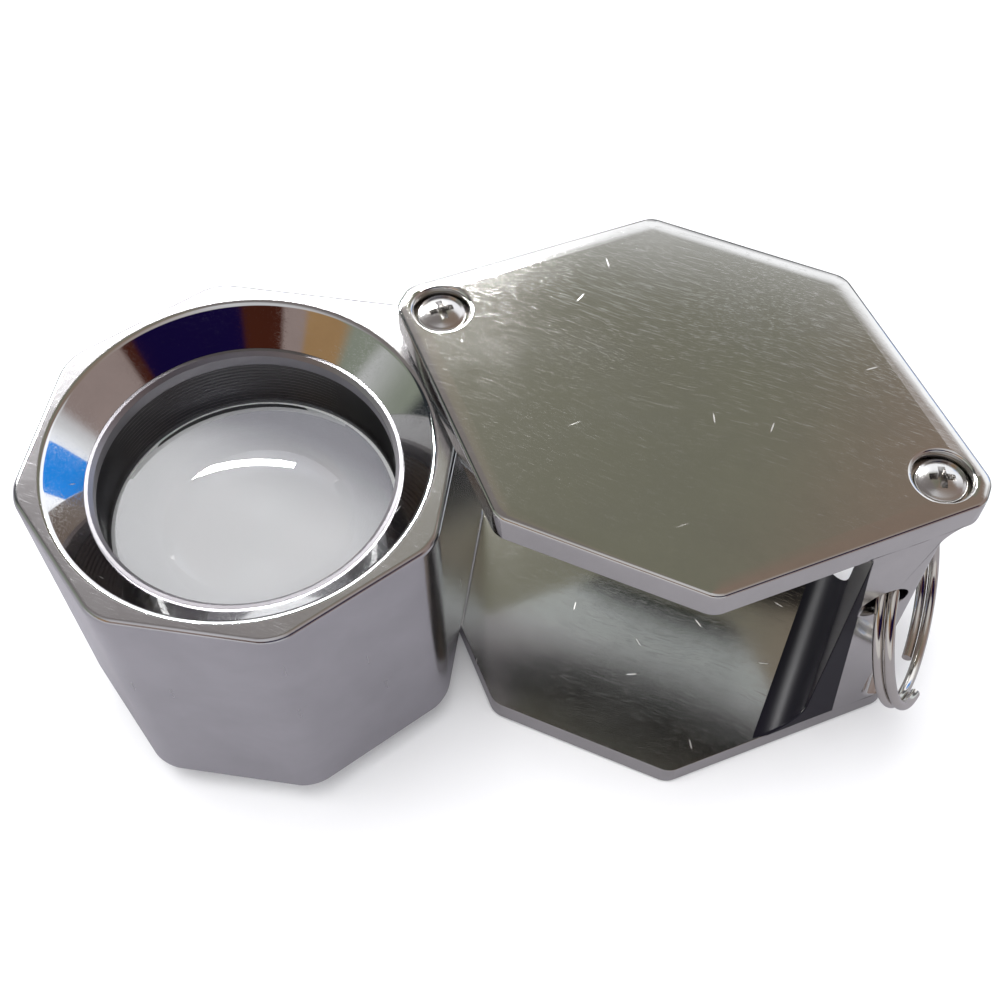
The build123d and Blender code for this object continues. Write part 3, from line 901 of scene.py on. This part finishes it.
# %% Housing dimensions
BLOCK_HALF = 14.25 * MM
PIVOT_TO_LENS = (LENS_CENTRE.to_2d() - PIVOT.to_2d()).length
BLOCK_CENTRE = Vector((PIVOT.x + PIVOT_TO_LENS, 0, 0))
HALF_OCTANT = math.radians(22.5)
OCTAGON_REACH = BLOCK_HALF * (1 + math.tan(HALF_OCTANT))
LUG_REACH = TIP_REACH - (CASE_HALF - BLOCK_HALF) * math.sqrt(2) + BLOCK_CENTRE.x
BLOCK_ROUND = 1.9 * MM * math.tan(HALF_OCTANT) * 1.6
BLOCK_BEVEL = 0.42 * MM
DISH_FOOT = 11.0 * MM
DISH_DEPTH = 2.5 * MM
DISH_SLOPE = math.radians(42)
DISH_LIP = 0.62 * MM
LUG_BORE = 1.55 * MM
SWING = math.atan2(LENS_CENTRE.y - PIVOT.y, LENS_CENTRE.x - PIVOT.x)


# %% The cutter for both dishes and the bore between them
def dish_cutter():
    roof, ground = housing_high.z, housing_low.z
    wall = eased_wall(DISH_FOOT, DISH_DEPTH, DISH_SLOPE, DISH_LIP, 10)
    upper = [(r, roof + z) for r, z in wall]
    lower = [(r, ground - z) for r, z in wall[::-1]]
    rim = wall[-1][0]
    profile = [(0, ground - CLEAR), (rim, ground - CLEAR)] + lower
    profile += upper + [(rim, roof + CLEAR), (0, roof + CLEAR)]
    return turned("dish_cutter", profile, BLOCK_CENTRE, steps=180)


def lug_bore():
    bpy.ops.object.select_all(action="DESELECT")
    bpy.ops.mesh.primitive_cylinder_add(vertices=48, radius=LUG_BORE, depth=CASE_TOP,
                                        location=(PIVOT.x, 0, CASE_MID))
    return bpy.context.active_object


# %% Cutting, boring and swinging the block
def make_housing():
    low = Vector((BLOCK_CENTRE.x - LUG_REACH, -BLOCK_HALF, housing_low.z))
    high = Vector((BLOCK_CENTRE.x + BLOCK_HALF, BLOCK_HALF, housing_high.z))
    cuts = slanted_cuts(BLOCK_CENTRE, OCTAGON_REACH, [(1, 1), (1, -1)])
    cuts += slanted_cuts(BLOCK_CENTRE, LUG_REACH, [(-1, 1), (-1, -1)])
    block = cut_block("lens_housing_block", low, high, cuts)
    edit_all(block)
    pick(block, "EDGE", upright)
    bpy.ops.mesh.bevel(offset=BLOCK_ROUND, segments=8, affect="EDGES")
    pick(block, "EDGE", lambda edge: at_height(edge, low.z) or at_height(edge, high.z))
    bpy.ops.mesh.bevel(offset=BLOCK_BEVEL, segments=4, affect="EDGES")
    done()
    combine(block, dish_cutter(), "DIFFERENCE")
    combine(block, lug_bore(), "DIFFERENCE")
    return block


def swing_out(piece):
    """Turns a piece from the closed case out to where the loupe is used."""
    edit_all(piece)
    bpy.ops.transform.rotate(value=-SWING, orient_axis="Z", center_override=(PIVOT.x, 0, 0))
    done()


def from_lens_axis(face):
    """Distance of a face's middle from the axis of the lens."""
    return (face.calc_center_median().to_2d() - LENS_CENTRE.to_2d()).length


housing = make_housing()
swing_out(housing)
paint(housing, housing_plate)
DISH_RIM = eased_wall(DISH_FOOT, DISH_DEPTH, DISH_SLOPE, DISH_LIP)[-1][0]
paint(housing, dish_chrome, lambda face: from_lens_axis(face) < DISH_RIM and abs(face.normal.z) < 0.999)
smooth(housing, 35)
settle(housing, "housing", "housing_plate", "lens_housing")

# %% [markdown]
# ## The optics
# Three glasses are cemented into one thick lens, and cemented faces don't reflect, so one closed
# solid is the honest way to show them. Its edge is ground matt with a small bevel, which is the
# bright arc seen at the foot of the sleeve. Each sleeve has fine grooves turned inside, to catch
# stray light.

# %% The cemented lens
LENS_RADIUS = (lens_high.x - lens_low.x) / 2
OUTER_CURVE = 19.0 * MM
OUTER_VERTEX = 6.6 * MM
BEVEL_START = 10.15 * MM
BEVEL_SLOPE = 0.8


def lens_profile(count=28):
    top = OUTER_VERTEX - OUTER_CURVE
    end = math.degrees(math.acos(BEVEL_START / OUTER_CURVE))
    upper = arc(0, top, OUTER_CURVE, end, 90, count)
    edge = upper[0][1] - (LENS_RADIUS - BEVEL_START) * BEVEL_SLOPE
    upper = [(LENS_RADIUS, edge)] + upper[:-1] + [(0, OUTER_VERTEX)]
    lower = [(r, -z) for r, z in upper[::-1]]
    return lower + upper


lens = turned("cemented_lens", lens_profile(), LENS_CENTRE, steps=128)
paint(lens, lens_glass)
paint(lens, ground_edge, lambda face: from_lens_axis(face) > BEVEL_START)
smooth(lens, 25, weigh=False)
settle(lens, "housing", "lens_glass", "upper_flint_lens", "crown_lens", "lower_flint_lens")

# %% The grooved sleeves
SLEEVE_OUTER = 10.98 * MM
SLEEVE_INNER = 10.45 * MM
GROOVE_DEPTH = 0.10 * MM
GROOVE_COUNT = 14
MOUTH_CHAMFER = 0.28 * MM
MOUTH_BAND = 1.2 * MM
SLEEVE_TOP = housing_high.z - DISH_DEPTH - LENS_CENTRE.z
SLEEVE_FOOT = 3.15 * MM


def sleeve_profile():
    wall_top = SLEEVE_TOP - MOUTH_BAND
    pitch = (wall_top - SLEEVE_FOOT) / GROOVE_COUNT
    grooves = []
    for i in range(GROOVE_COUNT):
        z = wall_top - i * pitch
        grooves += [(SLEEVE_INNER, z), (SLEEVE_INNER + GROOVE_DEPTH, z - 0.5 * pitch)]
    mouth = [(SLEEVE_OUTER, SLEEVE_TOP), (SLEEVE_INNER + MOUTH_CHAMFER, SLEEVE_TOP),
             (SLEEVE_INNER, SLEEVE_TOP - MOUTH_CHAMFER)]
    return [(SLEEVE_OUTER, SLEEVE_FOOT)] + mouth + grooves + [(SLEEVE_INNER, SLEEVE_FOOT)]


sleeve = turned("upper_sleeve_grooved", sleeve_profile(), LENS_CENTRE, steps=128, closed=True)
paint(sleeve, sleeve_alloy)
paint(sleeve, sleeve_mouth, lambda face: face.calc_center_median().z > LENS_CENTRE.z + SLEEVE_TOP - MOUTH_BAND)
smooth(sleeve, 20, weigh=False)
only(sleeve)
bpy.ops.object.duplicate()
lower_sleeve = bpy.context.active_object
lower_sleeve.name = lower_sleeve.data.name = "lower_sleeve_grooved"
edit_all(lower_sleeve)
bpy.ops.transform.rotate(value=math.pi, orient_axis="X", center_override=LENS_CENTRE)
done()
settle(sleeve, "housing", "sleeve_alloy", "upper_retaining_ring")
settle(lower_sleeve, "housing", "sleeve_alloy", "lower_retaining_ring")

# %% [markdown]
# ## The split ring
# Two turns of spring wire. A circle swept by a Screw modifier is exactly how it is wound. It is
# wound flat, then tipped down and pushed sideways until its top wires lie in the hole.

# %% Winding the ring
WIRE = 0.38 * MM
RING_RADIUS = 7.3 * MM
RING_PITCH = 0.8 * MM
RING_TURNS = 1.92
RING_DROP = math.radians(70)
RING_LIFT = 0.80 * MM


def wind_ring():
    bpy.ops.object.select_all(action="DESELECT")
    bpy.ops.mesh.primitive_circle_add(vertices=20, radius=WIRE, location=(RING_RADIUS, 0, 0),
                                      rotation=(math.pi / 2, 0, 0), fill_type="NOTHING")
    ring = bpy.context.active_object
    ring.name = ring.data.name = "split_ring_wound"
    bpy.ops.object.transform_apply(location=True, rotation=True, scale=True)
    bpy.ops.object.modifier_add(type="SCREW")
    winding = ring.modifiers[-1]
    winding.angle, winding.screw_offset = 2 * math.pi * RING_TURNS, RING_PITCH * RING_TURNS
    winding.steps = winding.render_steps = 220
    bpy.ops.object.modifier_apply(modifier=winding.name)
    edit_all(ring)
    bpy.ops.mesh.select_mode(type="EDGE")
    bpy.ops.mesh.select_all(action="DESELECT")
    bpy.ops.mesh.select_non_manifold()
    bpy.ops.mesh.edge_face_add()
    bpy.ops.mesh.select_all(action="SELECT")
    bpy.ops.mesh.normals_make_consistent(inside=False)
    bpy.ops.transform.translate(value=(RING_RADIUS - RING_LIFT, 0, -RING_PITCH * RING_TURNS / 2))
    bpy.ops.transform.rotate(value=-RING_DROP, orient_axis="Y", center_override=(0, 0, 0))
    bpy.ops.transform.translate(value=RING_HINGE)
    done()
    return ring


split_ring = wind_ring()
paint(split_ring, ring_chrome)
smooth(split_ring, 40, weigh=False)
settle(split_ring, "ring", "ring_chrome", "split_ring")

# %% Finishes for the pieces that stay as the frame has them
slot_finish = {"case_chrome": case_chrome, "housing_plate": housing_plate, "screw_chrome": screw_chrome,
               "pivot_steel": pivot_steel, "spring_steel": spring_steel, "washer_brass": washer_brass,
               "sleeve_alloy": sleeve_alloy, "lens_glass": lens_glass, "ring_chrome": ring_chrome}
for subpart in frame["record"]["subparts"]:
    node = frame["nodes"][subpart["node"]]
    node.data.materials.clear()
    node.data.materials.append(slot_finish[subpart["material_slot"]])
print("finishes set on", len(frame["nodes"]), "nodes")
